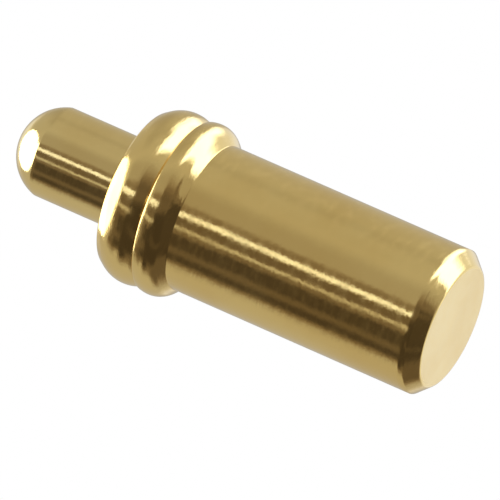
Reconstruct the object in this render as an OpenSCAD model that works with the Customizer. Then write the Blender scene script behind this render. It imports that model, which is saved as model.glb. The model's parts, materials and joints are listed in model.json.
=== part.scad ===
// Spring-loaded contact pin: a turned barrel, a plunger trapped in it by its rolled lip, and a coil spring.
// The pin stands on its flat foot, with +Z up its axis, and the origin at the centre of the foot.

/* [Barrel] */
// Length of the barrel, from the foot to the front of the mouth
barrel_l = 4.04; // [3.3:0.01:6]
// Diameter of the plain body
barrel_d = 1.73; // [1.44:0.01:2.6]
// Thickness of the foot under the tip of the drilled floor
foot_t = 0.33; // [0.2:0.01:0.6]
// Full angle of the drill points, in the barrel and in the plunger
drill_angle = 118; // [90:1:140]
// Length of the bevel round the foot
foot_bevel_l = 0.155; // [0.1:0.001:0.3]
// Angle between that bevel and the axis
foot_bevel_angle = 43.5; // [25:0.5:50]
// Rounding between that bevel and the flat face
foot_round = 0.06; // [0.03:0.01:0.12]

/* [Beads round the mouth] */
// How far the two beads stand proud of the body
bead_h = 0.163; // [0.12:0.001:0.25]
// Distance from the front of the mouth to the top of the front bead
front_crest = 0.3; // [0.26:0.002:0.34]
// Distance between the tops of the two beads
bead_pitch = 0.328; // [0.29:0.002:0.36]
// Radius of the front bead's crown
front_crown_r = 0.38; // [0.32:0.01:0.42]
// Radius of the rear bead's crown
rear_crown_r = 0.2; // [0.15:0.01:0.22]
// Angle between the front bead's bevel and the axis
front_flank_angle = 35; // [30:0.5:38]
// Angle between the rear bead's slope and the axis
rear_flank_angle = 48; // [38:0.5:55]
// Fillet between that slope and the body
root_fillet_r = 0.2; // [0.05:0.01:0.25]
// Rounding between the front bead's bevel and the front face
edge_round = 0.08; // [0.03:0.005:0.1]
// Rounding of the mouth's own edge
mouth_round = 0.04; // [0.01:0.005:0.06]

/* [Rolled lip] */
// Thickness of the lip, from the front of the mouth to its inner seat
lip_t = 0.31; // [0.2:0.01:0.5]
// Angle between the inner seat and the axis
seat_angle = 45; // [35:1:60]

/* [Plunger] */
// Diameter of the shank
plunger_d = 1.065; // [0.9:0.005:1.3]
// How much larger the dome's radius is than the shank's
dome_excess = 0.02; // [0:0.01:0.3]
// How far the plunger moves
stroke = 1.4; // [1.0:0.05:1.7]
// How far the tip still stands out of the mouth when it is fully pressed
pressed_tip_l = 0.065; // [0.02:0.005:0.3]
// How much larger the head's radius is than the shank's
head_step = 0.09; // [0.06:0.01:0.11]
// Free length left under the head when it is fully pressed
tail_gap = 0.53; // [0.3:0.01:0.7]
// Bevel at the head's lower edge
tail_bevel = 0.05; // [0.02:0.01:0.08]
// Wall of the shank round its spring hole
hole_wall = 0.12; // [0.1:0.01:0.2]
// Length of the solid nose, from the tip to the rim of the drill point
nose_l = 1.53; // [1.2:0.01:1.8]

/* [Spring] */
// Diameter of the wire
wire_d = 0.12; // [0.1:0.01:0.15]
// Closed turns at each end
closed_turns = 1; // [1:0.25:2]
// Room left between the turns when fully pressed, added over the whole spring
bind_margin = 0.16; // [0.1:0.01:0.3]

/* [Fits] */
// Radial clearance of the head in the bore
head_gap = 0.02; // [0.012:0.001:0.03]
// Radial clearance of the shank in the lip
shank_gap = 0.025; // [0.012:0.001:0.04]
// Clearance between the head's shoulder and the seat at rest
stop_gap = 0.01; // [0.006:0.001:0.02]
// Radial clearance of the spring in its hole
spring_gap = 0.03; // [0.015:0.005:0.05]
// Clearance between the end turns and the drill points
end_gap = 0.005; // [0.003:0.001:0.01]
// Clearance between the closed turns
turn_gap = 0.004; // [0.002:0.001:0.01]

/* [Hidden] */

$fn = 96;
gold = [0.80, 0.66, 0.38];
plunger_gold = [0.84, 0.71, 0.45];
spring_gold = [0.74, 0.66, 0.48];

// Heights of the barrel's features above the foot
barrel_r = barrel_d / 2;
bead_r = barrel_r + bead_h;
front_crest_z = barrel_l - front_crest;
rear_crest_z = front_crest_z - bead_pitch;
foot_corner_r = barrel_r - foot_bevel_l * tan(foot_bevel_angle);

// The bore, from its drilled floor to the seat under the lip
plunger_r = plunger_d / 2;
head_r = plunger_r + head_step;
bore_r = head_r + head_gap;
mouth_r = plunger_r + shank_gap;
floor_z = foot_t + bore_r / tan(drill_angle / 2);
seat_top_z = barrel_l - lip_t;
seat_bottom_z = seat_top_z - (bore_r - mouth_r) / tan(seat_angle);

// The plunger, placed so that its shoulder lies under the seat
total_l = barrel_l + stroke + pressed_tip_l;
dome_r = plunger_r + dome_excess;
dome_z = total_l - dome_r;
hole_r = plunger_r - hole_wall;
hole_end_z = total_l - nose_l;
shoulder_z = seat_top_z - (head_r - mouth_r) / tan(seat_angle) - stop_gap;
shoulder_top_z = shoulder_z + head_step / tan(seat_angle);
tail_z = floor_z + stroke + tail_gap;

// The spring's end turns rest in the two drill points, touching them at the wire's own radius
wire_r = wire_d / 2;
coil_r = hole_r - spring_gap - wire_r;
wire_rise = (wire_r + end_gap) / sin(drill_angle / 2);
coil_low_z = floor_z - (bore_r - coil_r) / tan(drill_angle / 2) + wire_rise;
coil_high_z = hole_end_z + (hole_r - coil_r) / tan(drill_angle / 2) - wire_rise;
coil_h = coil_high_z - coil_low_z;

// As many turns as still leave room between them when the plunger is fully pressed
pressed_h = coil_h + wire_d - stroke;
turns = floor((pressed_h - bind_margin) / wire_d) - 1;
closed_pitch = wire_d + turn_gap;
ease = 0.5;
open_start = closed_turns;
open_end = turns - closed_turns - ease;
open_pitch = closed_pitch
    + (coil_h - closed_pitch * turns) / (opened(turns - open_start) - opened(turns - open_end));

// The swept wire
rings_per_turn = 18;
wire_sides = 8;
ring_count = turns * rings_per_turn;

// Turns' worth of full pitch gained by u turns past a change of pitch that eases in over `ease` turns
function opened(u) =
    u <= 0 ? 0 : u >= ease ? u - ease / 2 : ease * (pow(u / ease, 3) - pow(u / ease, 4) / 2);

// Height of the wire's centre line after t turns
function coil_z(t) =
    coil_low_z + closed_pitch * t
    + (open_pitch - closed_pitch) * (opened(t - open_start) - opened(t - open_end));

// A point on the wire's surface, at angle b round the wire, after t turns; lead is the helix angle there
function wire_point(t, b, lead) =
    let (a = 360 * t, out = coil_r + wire_r * cos(b), along = wire_r * sin(b))
    [
        out * cos(a) + along * sin(lead) * sin(a),
        out * sin(a) - along * sin(lead) * cos(a),
        coil_z(t) + along * cos(lead)
    ];

function lead_angle(t) =
    atan((coil_z(t + 0.01) - coil_z(t - 0.01)) / 0.02 / (2 * PI * coil_r));

function ring(i) =
    let (t = i / rings_per_turn, lead = lead_angle(t))
    [for (k = [0:wire_sides - 1]) wire_point(t, 360 * k / wire_sides, lead)];

// One corner of a section, rounded: corner at [r, z], with the two edges leaving it at angles a1 and a2
module rounded_corner(r, z, a1, a2, radius) {
    half = abs(a2 - a1) / 2;
    middle = (a1 + a2) / 2;
    reach = radius / tan(half);
    centre = radius / sin(half);
    polygon([
        [r + reach * cos(a1), z + reach * sin(a1)],
        [r + reach * cos(a2), z + reach * sin(a2)],
        [r + centre * cos(middle), z + centre * sin(middle)]
    ]);
    translate([r + centre * cos(middle), z + centre * sin(middle)]) circle(r = radius);
}

// Half section of the plain body, with the bevel and the rounding at its foot
module body_section() {
    reach = foot_round * tan((90 - foot_bevel_angle) / 2);
    polygon([
        [0, 0],
        [foot_corner_r - reach, 0],
        [foot_corner_r + reach * sin(foot_bevel_angle), reach * cos(foot_bevel_angle)],
        [barrel_r, foot_bevel_l],
        [barrel_r, rear_crest_z],
        [0, rear_crest_z]
    ]);
    rounded_corner(foot_corner_r, 0, 90 - foot_bevel_angle, 180, foot_round);
}

// Half section of the front bead: its crown, and the bevel that leaves the crown and ends at the front face
module front_bead_section() {
    centre_r = bead_r - front_crown_r;
    bevel_r = centre_r + front_crown_r * cos(front_flank_angle);
    bevel_z = front_crest_z + front_crown_r * sin(front_flank_angle);
    edge_r = bevel_r - (barrel_l - bevel_z) * tan(front_flank_angle);
    edge_reach = edge_round * tan((90 - front_flank_angle) / 2);
    intersection() {
        translate([centre_r, front_crest_z]) circle(r = front_crown_r);
        translate([centre_r, rear_crest_z]) square([front_crown_r, bevel_z - rear_crest_z]);
    }
    polygon([
        [0, front_crest_z],
        [centre_r, front_crest_z],
        [bevel_r, bevel_z],
        [edge_r + edge_reach * sin(front_flank_angle), barrel_l - edge_reach * cos(front_flank_angle)],
        [edge_r - edge_reach, barrel_l],
        [0, barrel_l]
    ]);
    rounded_corner(edge_r, barrel_l, front_flank_angle - 90, -180, edge_round);
}

// Half section of the rear bead: its crown, and the slope with its fillet down to the body
module rear_bead_section() {
    centre_r = bead_r - rear_crown_r;
    slope_r = centre_r + rear_crown_r * cos(rear_flank_angle);
    slope_z = rear_crest_z - rear_crown_r * sin(rear_flank_angle);
    root_z = slope_z - (slope_r - barrel_r) / tan(rear_flank_angle);
    reach = root_fillet_r * tan(rear_flank_angle / 2);
    intersection() {
        translate([centre_r, rear_crest_z]) circle(r = rear_crown_r);
        translate([centre_r, slope_z]) square([rear_crown_r, front_crest_z - slope_z]);
    }
    difference() {
        polygon([
            [0, root_z - reach],
            [barrel_r, root_z - reach],
            [barrel_r + reach * sin(rear_flank_angle), root_z + reach * cos(rear_flank_angle)],
            [slope_r, slope_z],
            [centre_r, rear_crest_z],
            [0, rear_crest_z]
        ]);
        translate([barrel_r + root_fillet_r, root_z - reach]) circle(r = root_fillet_r);
    }
}

// Half section of what is drilled, bored and rolled away inside the barrel
module bore_section() {
    polygon([
        [0, foot_t],
        [bore_r, floor_z],
        [bore_r, seat_bottom_z],
        [mouth_r, seat_top_z],
        [mouth_r, barrel_l + mouth_round],
        [0, barrel_l + mouth_round]
    ]);
    difference() {
        translate([mouth_r, barrel_l - mouth_round]) square([mouth_round, 2 * mouth_round]);
        translate([mouth_r + mouth_round, barrel_l - mouth_round]) circle(r = mouth_round);
    }
}

module barrel() {
    color(gold)
    rotate_extrude()
    difference() {
        union() {
            body_section();
            translate([0, rear_crest_z]) square([barrel_r, bead_pitch]);
            front_bead_section();
            rear_bead_section();
        }
        bore_section();
    }
}

module plunger() {
    color(plunger_gold)
    rotate_extrude()
    difference() {
        union() {
            polygon([
                [0, tail_z],
                [head_r - tail_bevel, tail_z],
                [head_r, tail_z + tail_bevel],
                [head_r, shoulder_z],
                [plunger_r, shoulder_top_z],
                [plunger_r, dome_z],
                [0, dome_z]
            ]);
            intersection() {
                translate([0, dome_z]) circle(r = dome_r);
                translate([0, dome_z - dome_r]) square([plunger_r, 2 * dome_r]);
            }
        }
        polygon([
            [0, tail_z - tail_bevel],
            [hole_r, tail_z - tail_bevel],
            [hole_r, hole_end_z],
            [0, hole_end_z + hole_r / tan(drill_angle / 2)]
        ]);
    }
}

module spring() {
    last = ring_count * wire_sides;
    points = [for (i = [0:ring_count]) each ring(i)];
    sides = [
        for (i = [0:ring_count - 1], k = [0:wire_sides - 1])
        let (low = i * wire_sides, next = (k + 1) % wire_sides)
        [low + k, low + wire_sides + k, low + wire_sides + next, low + next]
    ];
    start_cap = [for (k = [0:wire_sides - 1]) k];
    end_cap = [for (k = [wire_sides - 1:-1:0]) last + k];
    color(spring_gold) polyhedron(points, concat(sides, [start_cap, end_cap]), convexity = 10);
}

barrel();
plunger();
spring();
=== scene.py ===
import json
import math
import bpy
import numpy as np
from mathutils import Matrix, Vector


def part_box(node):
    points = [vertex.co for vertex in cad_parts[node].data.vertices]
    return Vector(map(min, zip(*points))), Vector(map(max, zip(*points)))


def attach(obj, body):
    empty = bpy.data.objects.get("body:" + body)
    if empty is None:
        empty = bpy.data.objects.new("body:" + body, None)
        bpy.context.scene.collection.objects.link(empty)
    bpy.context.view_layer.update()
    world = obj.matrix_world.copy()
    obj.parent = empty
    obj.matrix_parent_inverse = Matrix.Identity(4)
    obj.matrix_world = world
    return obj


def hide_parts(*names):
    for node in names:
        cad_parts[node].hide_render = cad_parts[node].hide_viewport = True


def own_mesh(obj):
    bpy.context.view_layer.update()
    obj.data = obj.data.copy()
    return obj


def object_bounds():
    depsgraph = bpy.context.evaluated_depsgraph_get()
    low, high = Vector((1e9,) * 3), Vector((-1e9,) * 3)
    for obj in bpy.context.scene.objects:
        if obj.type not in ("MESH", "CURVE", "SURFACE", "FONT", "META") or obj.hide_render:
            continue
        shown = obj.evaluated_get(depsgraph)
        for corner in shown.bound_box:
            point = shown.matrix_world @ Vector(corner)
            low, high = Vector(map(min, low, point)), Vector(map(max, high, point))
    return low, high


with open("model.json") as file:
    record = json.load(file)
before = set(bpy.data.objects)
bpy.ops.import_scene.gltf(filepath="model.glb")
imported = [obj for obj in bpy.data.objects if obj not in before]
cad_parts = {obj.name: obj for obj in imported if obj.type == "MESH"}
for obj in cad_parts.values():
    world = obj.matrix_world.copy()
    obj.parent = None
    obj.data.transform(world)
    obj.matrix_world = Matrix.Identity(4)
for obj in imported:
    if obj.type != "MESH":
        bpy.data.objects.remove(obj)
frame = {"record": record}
cadLow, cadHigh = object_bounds()
print("frame loaded")

mm = 0.001
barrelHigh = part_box("barrel")[1]
plungerLow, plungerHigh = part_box("plunger")
springLow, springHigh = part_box("spring")
mounts = {m["name"]: m for m in frame["record"]["mounts"]}

cameraValues = {
    "elevation": -19.04,  # degrees above the horizon; negative, so it looks up past the foot
    "roll": 156.24,  # degrees from image-right to the pin's axis, seen by the camera
    "distance": 240 * mm,
    "frameWidth": 5.5415 * mm,  # width of the picture at the pin
    "aimRight": 0.1445 * mm,  # the picture's centre lies this far to the right of the pin's middle
    "aimDown": 0.1968 * mm,  # and this far below it
    "sensorWidth": 36,  # millimetres, as the lens is
    "nearest": 1 * mm,
    "farthest": 10,  # metres
}


def makeCamera(v):
    elevation = math.radians(v["elevation"])
    roll = math.radians(v["roll"])
    toCamera = Vector((0, -math.cos(elevation), math.sin(elevation)))
    axisSeen = Vector((0, math.sin(elevation), math.cos(elevation)))
    sideSeen = Vector((1, 0, 0))
    right = math.cos(roll) * axisSeen + math.sin(roll) * sideSeen
    up = math.sin(roll) * axisSeen - math.cos(roll) * sideSeen
    aim = (cadLow + cadHigh) / 2 + v["aimRight"] * right - v["aimDown"] * up
    data = bpy.data.cameras.new("pinCamera")
    data.sensor_width = v["sensorWidth"]
    data.lens = v["sensorWidth"] * v["distance"] / v["frameWidth"]
    data.clip_start = v["nearest"]
    data.clip_end = v["farthest"]
    camera = bpy.data.objects.new("pinCamera", data)
    bpy.context.scene.collection.objects.link(camera)
    place = Matrix((right, up, toCamera)).transposed().to_4x4()
    place.translation = aim + v["distance"] * toCamera
    camera.matrix_world = place
    bpy.context.scene.camera = camera


makeCamera(cameraValues)
bpy.context.scene.view_settings.view_transform = "Standard"
print("camera placed")


def arc(centreR, centreZ, radius, start, end, count):
    # points [r, z] on a circle about [centreR, centreZ], from angle start to end in degrees
    a = np.radians(np.linspace(start, end, count))
    return np.stack([centreR + radius * np.cos(a), centreZ + radius * np.sin(a)], axis=1)


def line(a, b, count):
    # points [r, z] evenly spaced from a to b
    t = np.linspace(0, 1, count)[:, None]
    return np.array(a) * (1 - t) + np.array(b) * t


def joinProfile(parts):
    # joins the stretches and drops points that repeat
    points = np.concatenate(parts)
    step = np.linalg.norm(np.diff(points, axis=0), axis=1)
    return points[np.concatenate([[True], step > 0.00001 * mm])]


def makeMesh(name, points, faces):
    mesh = bpy.data.meshes.new(name)
    mesh.from_pydata(points.tolist(), [], faces)
    mesh.validate()
    mesh.polygons.foreach_set("use_smooth", np.ones(len(mesh.polygons), bool))
    piece = bpy.data.objects.new(name, mesh)
    bpy.context.scene.collection.objects.link(piece)
    return piece


def revolve(name, profile, around):
    # surface of revolution: point(i, k) = (r_i cos a_k, r_i sin a_k, z_i), a_k = 2 pi k / around
    # the profile starts and ends on the axis, where one point closes the surface
    a = 2 * math.pi * np.arange(around) / around
    r, z = profile[1:-1, 0], profile[1:-1, 1]
    height = np.repeat(z[:, None], around, 1)
    grid = np.stack([np.outer(r, np.cos(a)), np.outer(r, np.sin(a)), height], axis=2)
    poles = np.array([[0, 0, profile[0, 1]], [0, 0, profile[-1, 1]]])
    points = np.concatenate([grid.reshape(-1, 3), poles])
    i, k = np.meshgrid(np.arange(len(r) - 1), np.arange(around), indexing="ij")
    low, high, beside = i * around, (i + 1) * around, (k + 1) % around
    quads = np.stack([low + k, low + beside, high + beside, high + k], axis=2).reshape(-1, 4)
    k = np.arange(around)
    beside = (k + 1) % around
    last = (len(r) - 1) * around
    firstPole, lastPole = np.full(around, last + around), np.full(around, last + around + 1)
    first = np.stack([firstPole, beside, k], axis=1)
    final = np.stack([lastPole, last + k, last + beside], axis=1)
    return makeMesh(name, points, quads.tolist() + first.tolist() + final.tolist())


barrelValues = {
    "bodyRadius": mounts["barrel_body"]["dims"]["r_mm"] * mm,
    "footThickness": 0.33 * mm,
    "drillAngle": 118,
    "footBevelLength": 0.155 * mm,
    "footBevelAngle": 43.5,
    "footRound": 0.06 * mm,
    "frontCrest": 0.3 * mm,  # from the front of the mouth to the top of the front bead
    "beadPitch": 0.328 * mm,
    "frontCrown": 0.38 * mm,
    "frontAngle": 35,
    "rearCrown": 0.24 * mm,  # the rear bead's back half
    "rearAngle": 51,
    "rootFillet": 0.012 * mm,
    "rearTop": 0.33 * mm,  # its front half: a flatter top that turns into a small edge
    "rearTurn": 15.5,
    "rearEdge": 0.04 * mm,
    "edgeRound": 0.08 * mm,
    "mouthRound": 0.04 * mm,
    "lipThickness": 0.31 * mm,
    "mouthRadius": 0.5575 * mm,
    "boreRadius": 0.6425 * mm,
    "around": 256,
}


def footProfile(v):
    # flat face, rounding and bevel, from the middle of the foot outwards
    body, angle = v["bodyRadius"], math.radians(v["footBevelAngle"])
    corner = body - v["footBevelLength"] * math.tan(angle)
    reach = v["footRound"] * math.tan((math.pi / 2 - angle) / 2)
    bevelStart = (corner + reach * math.sin(angle), reach * math.cos(angle))
    return [
        line((0, 0), (corner - reach, 0), count=26),
        arc(corner - reach, v["footRound"], v["footRound"], -90, -v["footBevelAngle"], count=12),
        line(bevelStart, (body, v["footBevelLength"]), count=8),
    ]


def beadsProfile(v):
    # body, rear bead, crease, front bead and rounded front edge, from the foot upwards
    body, length, bead = v["bodyRadius"], barrelHigh.z, barrelHigh.x
    frontA, rearA, turnA = (math.radians(v[k]) for k in ("frontAngle", "rearAngle", "rearTurn"))
    frontZ = length - v["frontCrest"]
    rearZ = frontZ - v["beadPitch"]
    # the rear bead's back half: root fillet, then slope, then crown
    slopeR = bead - v["rearCrown"] + v["rearCrown"] * math.cos(rearA)
    slopeZ = rearZ - v["rearCrown"] * math.sin(rearA)
    rootZ = slopeZ - (slopeR - body) / math.tan(rearA)
    filletZ = rootZ - v["rootFillet"] * math.tan(rearA / 2)
    # its front half, whose small edge crosses the front bead's crown in the crease: where two
    # circles of radius a and b, span apart, cross, the angle at the centre of the first has the
    # cosine (span^2 + a^2 - b^2) / (2 span a)
    topC = np.array([bead - v["rearTop"], rearZ])
    turned = np.array([math.cos(turnA), math.sin(turnA)])
    edgeC = topC + (v["rearTop"] - v["rearEdge"]) * turned
    crownC = np.array([bead - v["frontCrown"], frontZ])
    span = float(np.linalg.norm(crownC - edgeC))
    toCrown = math.atan2(crownC[1] - edgeC[1], crownC[0] - edgeC[0])
    edge, crown = v["rearEdge"], v["frontCrown"]
    edgeCross = math.acos((span**2 + edge**2 - crown**2) / (2 * span * edge))
    crownCross = math.acos((span**2 + crown**2 - edge**2) / (2 * span * crown))
    edgeEnd = math.degrees(toCrown - edgeCross)
    crownStart = math.degrees(toCrown + crownCross - math.pi)
    # the front bead: crown, bevel and rounded edge
    bevelR = bead - crown + crown * math.cos(frontA)
    bevelZ = frontZ + crown * math.sin(frontA)
    edgeR = bevelR - (length - bevelZ) * math.tan(frontA)
    edgeReach = v["edgeRound"] * math.tan((math.pi / 2 - frontA) / 2)
    roundR, roundZ = edgeR - edgeReach, length - v["edgeRound"]
    return [
        line((body, v["footBevelLength"]), (body, filletZ), count=40),
        arc(body + v["rootFillet"], filletZ, v["rootFillet"], 180, 180 - v["rearAngle"], count=18),
        arc(bead - v["rearCrown"], rearZ, v["rearCrown"], -v["rearAngle"], 0, count=16),
        arc(*topC, v["rearTop"], 0, v["rearTurn"], count=12),
        arc(*edgeC, edge, v["rearTurn"], edgeEnd, count=14),
        arc(*crownC, crown, crownStart, v["frontAngle"], count=30),
        arc(roundR, roundZ, v["edgeRound"], v["frontAngle"], 90, count=8),
    ]


def boreProfile(v):
    # mouth, lip, seat and bore, from the front down to the drilled point
    length = barrelHigh.z
    mouth, bore = v["mouthRadius"], v["boreRadius"]
    seatTop = length - v["lipThickness"]
    rounded = length - v["mouthRound"]
    floorZ = v["footThickness"] + bore * math.tan(math.radians(90 - v["drillAngle"] / 2))
    return [
        arc(mouth + v["mouthRound"], rounded, v["mouthRound"], 90, 180, count=8),
        line((mouth, rounded), (mouth, seatTop), count=4),
        line((bore, seatTop - (bore - mouth)), (bore, floorZ), count=12),
        line((bore, floorZ), (0, v["footThickness"]), count=8),
    ]


barrelProfile = joinProfile(
    footProfile(barrelValues) + beadsProfile(barrelValues) + boreProfile(barrelValues)
)
barrel = revolve("barrelMetal", barrelProfile, barrelValues["around"])
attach(barrel, "barrel")
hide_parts("barrel")
print("barrel made")

plungerValues = {
    "shankRadius": 0.5325 * mm,
    "domeExcess": 0.02 * mm,  # how much larger the dome's radius is than the shank's
    "headStep": 0.09 * mm,
    "shoulderHeight": 3.655 * mm,
    "tailBevel": 0.05 * mm,
    "holeRadius": 0.4125 * mm,
    "drillAngle": 118,
    "noseLength": 1.53 * mm,
    "around": 224,
}


def plungerProfile(v):
    # dome, shank and head, then up the spring hole to its drilled point; turned round at the end,
    # so that it runs upwards on the outside
    tip, tail = plungerHigh.z, plungerLow.z
    shank, hole = v["shankRadius"], v["holeRadius"]
    head, dome = shank + v["headStep"], shank + v["domeExcess"]
    domeZ = tip - dome
    meet = math.acos(shank / dome)
    meetZ = domeZ + dome * math.sin(meet)
    holeEnd = tip - v["noseLength"]
    pointZ = holeEnd + hole * math.tan(math.radians(90 - v["drillAngle"] / 2))
    parts = [
        arc(0, domeZ, dome, 90, math.degrees(meet), count=60),
        line((shank, meetZ), (shank, v["shoulderHeight"] + v["headStep"]), count=30),
        line((head, v["shoulderHeight"]), (head, tail + v["tailBevel"]), count=8),
        line((head - v["tailBevel"], tail), (hole, tail), count=3),
        line((hole, tail), (hole, holeEnd), count=10),
        line((hole, holeEnd), (0, pointZ), count=6),
    ]
    return joinProfile(parts)[::-1]


plunger = revolve("plungerMetal", plungerProfile(plungerValues), plungerValues["around"])
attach(plunger, "plunger")
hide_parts("plunger")
print("plunger made")

springValues = {
    "wireRadius": 0.06 * mm,
    "turns": 14,
    "closedTurns": 1,
    "closedPitch": 0.124 * mm,
    "ease": 0.5,  # turns over which the pitch opens and closes
    "ringsPerTurn": 40,
    "wireSides": 14,
}


def springSurface(v):
    # a circle swept along a helix: the centre line is (R cos 2 pi t, R sin 2 pi t, z(t)) after t
    # turns, and z(t) rises by the closed pitch at both ends and by a wider one, eased in and out,
    # between them
    def opened(u):
        x = np.clip(u / v["ease"], 0, 1)
        return np.where(u >= v["ease"], u - v["ease"] / 2, v["ease"] * (x**3 - x**4 / 2))

    wire = v["wireRadius"]
    coil = springHigh.x - wire
    low, high = springLow.z + wire, springHigh.z - wire
    start, end = v["closedTurns"], v["turns"] - v["closedTurns"] - v["ease"]
    t = np.linspace(0, v["turns"], v["turns"] * v["ringsPerTurn"] + 1)
    gained = opened(t - start) - opened(t - end)
    extra = (high - low - v["closedPitch"] * v["turns"]) / gained[-1]
    z = low + v["closedPitch"] * t + extra * gained
    lead = np.arctan2(np.gradient(z, t), 2 * math.pi * coil)[:, None]
    a = 2 * math.pi * t[:, None]
    b = 2 * math.pi * np.arange(v["wireSides"])[None, :] / v["wireSides"]
    out, along = coil + wire * np.cos(b), wire * np.sin(b)
    x = out * np.cos(a) + along * np.sin(lead) * np.sin(a)
    y = out * np.sin(a) - along * np.sin(lead) * np.cos(a)
    points = np.stack([x, y, z[:, None] + along * np.cos(lead)], axis=2).reshape(-1, 3)
    sides = v["wireSides"]
    i, k = np.meshgrid(np.arange(len(t) - 1), np.arange(sides), indexing="ij")
    beside = (k + 1) % sides
    low, high = i * sides, (i + 1) * sides
    quads = np.stack([low + k, high + k, high + beside, low + beside], axis=2).reshape(-1, 4)
    last = (len(t) - 1) * sides
    caps = [list(range(sides)), [last + k for k in reversed(range(sides))]]
    return points, quads.tolist() + caps


spring = makeMesh("springWire", *springSurface(springValues))
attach(spring, "barrel")
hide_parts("spring")
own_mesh(spring)
print("spring made")


class Nodes:
    # a short way to add and link shader nodes
    def __init__(self, tree):
        self.tree = tree
        tree.nodes.clear()

    def add(self, kind, settings=None, **inputs):
        node = self.tree.nodes.new(kind)
        for key, value in (settings or {}).items():
            setattr(node, key, value)
        for key, value in inputs.items():
            self.put(node, key.replace("_", " "), value)
        return node

    def put(self, node, key, value):
        socket = node.inputs[key]
        if isinstance(value, bpy.types.NodeSocket):
            self.tree.links.new(value, socket)
        else:
            socket.default_value = value

    def math(self, operation, a, b=0.0):
        node = self.add("ShaderNodeMath", {"operation": operation})
        self.put(node, 0, a)
        self.put(node, 1, b)
        return node.outputs[0]

    def between(self, value, low, high, toLow=0.0, toHigh=1.0):
        # carries value from the range low..high to toLow..toHigh, with soft ends
        node = self.add("ShaderNodeMapRange", {"interpolation_type": "SMOOTHSTEP"}, Value=value)
        self.put(node, "From Min", low)
        self.put(node, "From Max", high)
        self.put(node, "To Min", toLow)
        self.put(node, "To Max", toHigh)
        return node.outputs[0]

    def mix(self, share, a, b):
        # the colour mix's own sockets are numbers 6 and 7, and its result is number 2
        node = self.add("ShaderNodeMix", {"data_type": "RGBA"})
        self.put(node, 0, share)
        self.put(node, 6, a)
        self.put(node, 7, b)
        return node.outputs[2]

    def noise(self, place, scale, detail=2.0, rough=0.5):
        node = self.add(
            "ShaderNodeTexNoise", Vector=place, Scale=scale, Detail=detail, Roughness=rough
        )
        return node.outputs["Fac"]

    def stretched(self, place, scale):
        return self.add("ShaderNodeMapping", Vector=place, Scale=scale).outputs["Vector"]


# each mark's height in micrometres: rings turned round the axis, small dents, wider unevenness,
# scratches; patches is how much the gloss varies
goldValues = {
    "barrel": {
        "colour": (0.985, 0.715, 0.265),
        "roughness": 0.10,
        "stretch": 0.5,
        "rings": 3.2,
        "dents": 0.9,
        "waves": 3.0,
        "scratches": 0.12,
        "patches": 1.0,
    },
    "foot": {
        "colour": (0.985, 0.735, 0.31),
        "roughness": 0.30,
        "stretch": 0.0,
        "rings": 0.0,
        "dents": 1.0,
        "waves": 1.5,
        "scratches": 0.2,
        "patches": 0.15,
    },
    "plunger": {
        "colour": (0.985, 0.74, 0.30),
        "roughness": 0.08,
        "stretch": 0.5,
        "rings": 2.4,
        "dents": 0.7,
        "waves": 1.5,
        "scratches": 0.0,
        "patches": 1.0,
    },
    "spring": {
        "colour": (0.93, 0.72, 0.36),
        "roughness": 0.22,
        "stretch": 0.0,
        "rings": 0.0,
        "dents": 0.5,
        "waves": 0.0,
        "scratches": 0.0,
        "patches": 0.3,
    },
}
# how fine each pattern is, in repeats for each metre; three numbers are for X, Y and Z
patternValues = {
    "drift": 900.0,
    "driftRange": (0.35, 0.65),  # noise below the first number is none, above the second is all
    "driftTone": (0.95, 0.92, 0.86),  # share of red, green and blue in the deeper tone
    "rings": (3200.0, 3200.0, 15000.0),
    "dents": 14000.0,
    "waves": 2600.0,
    "scratches": (700.0, 700.0, 3000.0),
    "scratchWidth": 0.02,
    "scratchAreas": 1500.0,
    "scratchRange": (0.52, 0.62),
    "patches": (5000.0, 5000.0, 11000.0),
    "patchRange": (0.35, 0.65),
    "detail": 3.0,
    "grain": 0.6,
    "glossier": 0.4,  # share of the roughness lost in the glossiest patches
    "duller": 0.8,  # share gained in the dullest
    "heightUnit": 0.001 * mm,
}


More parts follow.
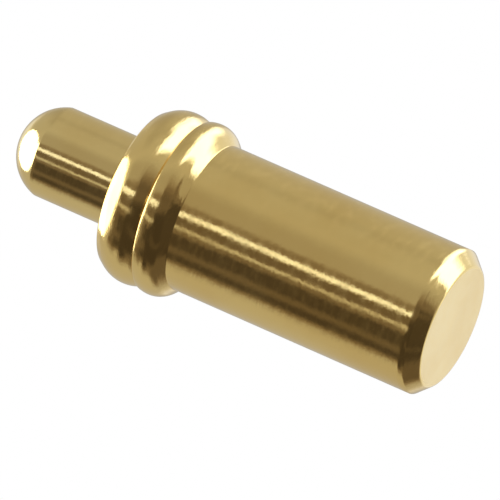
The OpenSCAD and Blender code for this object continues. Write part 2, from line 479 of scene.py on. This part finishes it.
def goldMaterial(name, v, pattern):
    material = bpy.data.materials.new(name)
    material.use_nodes = True
    n = Nodes(material.node_tree)
    place = n.add("ShaderNodeTexCoord").outputs["Object"]
    detail, grain = pattern["detail"], pattern["grain"]
    # plating: slight drift of tone
    drift = n.between(n.noise(place, pattern["drift"], detail), *pattern["driftRange"])
    deeper = [c * share for c, share in zip(v["colour"], pattern["driftTone"])]
    colour = n.mix(drift, (*deeper, 1), (*v["colour"], 1))
    # turning marks: noise that changes fast along the axis and slowly round it
    rings = n.noise(n.stretched(place, pattern["rings"]), 1.0, detail, grain)
    dents = n.noise(place, pattern["dents"], detail, grain)
    waves = n.noise(place, pattern["waves"])
    # scratches: the thin walls between long cells, only where a coarse noise is high
    cells = n.add(
        "ShaderNodeTexVoronoi",
        {"feature": "DISTANCE_TO_EDGE"},
        Vector=n.stretched(place, pattern["scratches"]),
        Scale=1.0,
    )
    walls = n.between(cells.outputs["Distance"], 0.0, pattern["scratchWidth"], 1.0, 0.0)
    areas = n.between(n.noise(place, pattern["scratchAreas"]), *pattern["scratchRange"])
    scratches = n.math("MULTIPLY", walls, areas)
    height = 0.0
    marks = {"rings": rings, "dents": dents, "waves": waves, "scratches": scratches}
    for mark, found in marks.items():
        height = n.math("ADD", height, n.math("MULTIPLY", found, v[mark]))
    bump = n.add("ShaderNodeBump", Strength=1.0, Distance=pattern["heightUnit"], Height=height)
    # gloss in small patches, drawn out round the axis
    patches = n.noise(n.stretched(place, pattern["patches"]), 1.0, detail, grain)
    glossy = v["roughness"] * (1 - pattern["glossier"] * v["patches"])
    dull = v["roughness"] * (1 + pattern["duller"] * v["patches"])
    shader = n.add(
        "ShaderNodeBsdfPrincipled",
        Metallic=1.0,
        Base_Color=colour,
        Roughness=n.between(patches, *pattern["patchRange"], glossy, dull),
        Normal=bump.outputs["Normal"],
        Anisotropic=v["stretch"],
        Anisotropic_Rotation=0.25,  # a quarter turn, so the gloss is drawn out along the axis
    )
    if v["stretch"]:
        tangent = n.add("ShaderNodeTangent", {"direction_type": "RADIAL", "axis": "Z"})
        n.put(shader, "Tangent", tangent.outputs["Tangent"])
    n.add("ShaderNodeOutputMaterial", Surface=shader.outputs["BSDF"])
    return material


def faceHeights(mesh):
    # height of the middle of each face
    centres = np.empty(len(mesh.polygons) * 3)
    mesh.polygons.foreach_get("center", centres)
    return centres[2::3]


barrel.data.materials.append(goldMaterial("barrelGold", goldValues["barrel"], patternValues))
barrel.data.materials.append(goldMaterial("footGold", goldValues["foot"], patternValues))
plunger.data.materials.append(goldMaterial("plungerGold", goldValues["plunger"], patternValues))
spring.data.materials.append(goldMaterial("springGold", goldValues["spring"], patternValues))
onGround = faceHeights(barrel.data) < 0.0005 * mm
barrel.data.polygons.foreach_set("material_index", onGround.astype(np.int32))
print("materials made")

# What the metal reflects: a studio seen from the pin, in degrees. Azimuth 0 is -Y and 90 is +X,
# elevation is above the horizon. Each panel is laid over those before it: level, azimuths from
# and to, how soft its left and right ends are, elevations from and to, how soft its lower and
# upper ends are, and how many degrees of azimuth it leans to the right for each of elevation.
studioValues = {
    "wall": 0.485,
    "panels": {
        "rightWall": (0.46, 48, 135, 10, 20, 10, 100, 5, 5, 0),
        "rightStripe": (0.42, 78, 92, 8, 8, 10, 50, 5, 5, 0),
        "rightUpper": (0.40, 62, 150, 15, 15, 26, 46, 6, 8, 0),
        "frontWall": (0.38, -5, 38, 3, 14, -100, 53, 5, 6, 0),
        "seam": (0.23, -6, 6, 2, 4, -100, 53, 5, 6, 0),
        "frontLower": (0.13, -30, 20, 5, 18, -100, 2, 5, 5, 0),
        "darkUpper": (0.15, -95, -36, 12, 3, 20, 42, 5, 5, 0),
        "darkRoom": (0.072, -87, -36, 9, 6, 4, 26, 5, 6, 0),
        "faint": (0.15, -70, -60, 5, 5, 8, 40, 4, 5, 0),
        "darkFloor": (0.06, -102, -17, 12, 8, -100, 8, 5, 5, 0),
        "slantEdge": (0.2, -98, -40, 10, 10, -100, -10, 5, 6, 0.8),
        "darkSlant": (0.06, -80, -40, 12, 10, -100, -4, 5, 6, 0.8),
        "footBrown": (0.17, -20, 48, 10, 12, -100, -50, 5, 5, 0),
        "footDark": (0.07, -110, 6, 12, 8, -100, -57, 4, 4, 0),
        "brownWall": (0.15, -37, -12, 5, 3, 1, 43, 4, 5, 0),
        "glow": (0.62, -80, 12, 10, 10, 45, 60, 4, 4, 0),
        "windowUpper": (1.15, -11.2, -4.6, 2.4, 2.0, -6, 47, 7, 8, 0),
        "windowLower": (0.14, -14, -2, 3, 3, -70, 0, 10, 4, 0),
        "windowSide": (0.56, -31.6, -26.6, 2.4, 2.4, -6, 52, 7, 6, 0),
        "leftUpper": (0.85, -155, -100, 10, 10, 57, 100, 6, 5, 0),
        "backUpper": (0.82, -212, -148, 12, 12, 44, 100, 10, 5, 0),
        "deepRight": (0.40, 36, 160, 12, 10, -100, -62, 5, 6, 0),
        "reflectorWing": (0.80, 120, 172, 10, 8, -56, 10, 8, 5, 0),
        "reflectorTop": (2.2, 92, 140, 12, 8, -8, 9, 5, 5, 0),
        "reflector": (2.6, 51, 132, 8, 8, -64, 0, 6, 5, -0.6),
        "belowReflector": (0.78, 116, 190, 12, 8, -62, -12, 8, 8, -0.25),
        "lowSide": (0.13, -142, -103, 12, 8, -50, -16, 5, 8, 0),
        "rearFloor": (0.86, -206, -156, 8, 8, -46, 0, 8, 8, 0),
    },
    # the tint of dark, middling and bright parts, and the levels between which each takes over
    "darkTint": (0.98, 0.81, 0.66),
    "middleTint": (1.0, 1.0, 0.98),
    "brightTint": (1.0, 1.10, 1.34),
    "darkToMiddle": (0.15, 0.45),
    "middleToBright": (0.5, 0.95),
    "ambient": 0.25,  # what matt surfaces get from all round
}
softboxValues = {
    "level": 3.0,
    "height": 50 * mm,  # above the tip
    "centre": (-15 * mm, -6 * mm),
    "size": (60 * mm, 72 * mm),
}


def panelLevel(n, direction, elevation, level, panel):
    # level with one panel laid over it
    value, left, right, softLeft, softRight, low, high, softLow, softHigh, lean = panel
    # azimuth from the panel's middle, so that no panel lies across the seam behind it
    turned = n.add(
        "ShaderNodeVectorRotate",
        {"rotation_type": "Z_AXIS"},
        Vector=direction,
        Angle=-math.radians((left + right) / 2),
    )
    seen = n.add("ShaderNodeSeparateXYZ", Vector=turned.outputs["Vector"])
    toFront = n.math("MULTIPLY", seen.outputs["Y"], -1.0)
    beside = n.math("ARCTAN2", seen.outputs["X"], toFront)
    beside = n.math("MULTIPLY", beside, 180 / math.pi)
    if lean:
        beside = n.math("SUBTRACT", beside, n.math("MULTIPLY", elevation, lean))
    half = (right - left) / 2
    mask = n.between(beside, -half - softLeft, -half + softLeft)
    mask = n.math("MULTIPLY", mask, n.between(beside, half + softRight, half - softRight))
    mask = n.math("MULTIPLY", mask, n.between(elevation, low - softLow, low + softLow))
    mask = n.math("MULTIPLY", mask, n.between(elevation, high + softHigh, high - softHigh))
    return n.math("ADD", level, n.math("MULTIPLY", mask, n.math("SUBTRACT", value, level)))


def makeWorld(v):
    world = bpy.data.worlds.new("studio")
    bpy.context.scene.world = world
    world.use_nodes = True
    world.cycles.sampling_method = "NONE"
    n = Nodes(world.node_tree)
    direction = n.add("ShaderNodeTexCoord").outputs["Generated"]
    parts = n.add("ShaderNodeSeparateXYZ", Vector=direction)
    elevation = n.math("MULTIPLY", n.math("ARCSINE", parts.outputs["Z"]), 180 / math.pi)
    level = v["wall"]
    for panel in v["panels"].values():
        level = panelLevel(n, direction, elevation, level, panel)
    dark, middle, bright = ((*v[k], 1) for k in ("darkTint", "middleTint", "brightTint"))
    tint = n.mix(n.between(level, *v["darkToMiddle"]), dark, middle)
    tint = n.mix(n.between(level, *v["middleToBright"]), tint, bright)
    studio = n.add("ShaderNodeVectorMath", {"operation": "SCALE"}, Vector=tint, Scale=level)
    # mirror rays see the studio, the camera sees white, and matt surfaces get an even light
    ray = n.add("ShaderNodeLightPath")
    mirrored = n.math(
        "MAXIMUM", ray.outputs["Is Glossy Ray"], ray.outputs["Is Transmission Ray"]
    )
    colour = n.mix(mirrored, (v["ambient"], v["ambient"], v["ambient"], 1), studio.outputs[0])
    colour = n.mix(ray.outputs["Is Camera Ray"], colour, (1, 1, 1, 1))
    shade = n.add("ShaderNodeBackground", Color=colour, Strength=1.0)
    n.add("ShaderNodeOutputWorld", Surface=shade.outputs["Background"])


def makeSoftbox(v):
    # an elliptical lamp that looks straight down; its power is pi times level times its area
    data = bpy.data.lights.new("softbox", "AREA")
    data.shape = "ELLIPSE"
    data.size, data.size_y = v["size"]
    data.energy = v["level"] * math.pi * (math.pi / 4 * v["size"][0] * v["size"][1])
    lamp = bpy.data.objects.new("softbox", data)
    bpy.context.scene.collection.objects.link(lamp)
    lamp.location = (*v["centre"], cadHigh.z + v["height"])


makeWorld(studioValues)
makeSoftbox(softboxValues)
print("light made")

floorValues = {
    "drop": 0.02 * mm,  # just under the foot
    "radius": 60 * mm,
    "fadeFrom": 12 * mm,
    "fadeTo": 30 * mm,
    "shade": 0.86,
}


def makeFloor(v):
    # a square of paper that fades out all round, and is clear when seen from below
    r = v["radius"]
    corners = np.array([[-r, -r, 0], [r, -r, 0], [r, r, 0], [-r, r, 0]]) - [0, 0, v["drop"]]
    floor = makeMesh("floor", corners, [[0, 1, 2, 3]])
    material = bpy.data.materials.new("floorPaper")
    material.use_nodes = True
    n = Nodes(material.node_tree)
    place = n.add("ShaderNodeTexCoord").outputs["Object"]
    far = n.add("ShaderNodeVectorMath", {"operation": "LENGTH"})
    n.put(far, 0, place)
    gone = n.between(far.outputs["Value"], v["fadeFrom"], v["fadeTo"])
    below = n.add("ShaderNodeNewGeometry").outputs["Backfacing"]
    paper = n.add("ShaderNodeBsdfDiffuse", Color=(v["shade"], v["shade"], v["shade"], 1))
    nothing = n.add("ShaderNodeBsdfTransparent")
    both = n.add("ShaderNodeMixShader")
    n.put(both, 0, n.math("MAXIMUM", gone, below))
    n.put(both, 1, paper.outputs[0])
    n.put(both, 2, nothing.outputs[0])
    n.add("ShaderNodeOutputMaterial", Surface=both.outputs[0])
    floor.data.materials.append(material)
    floor.visible_glossy = False
    floor.visible_shadow = False


makeFloor(floorValues)
print("floor made")
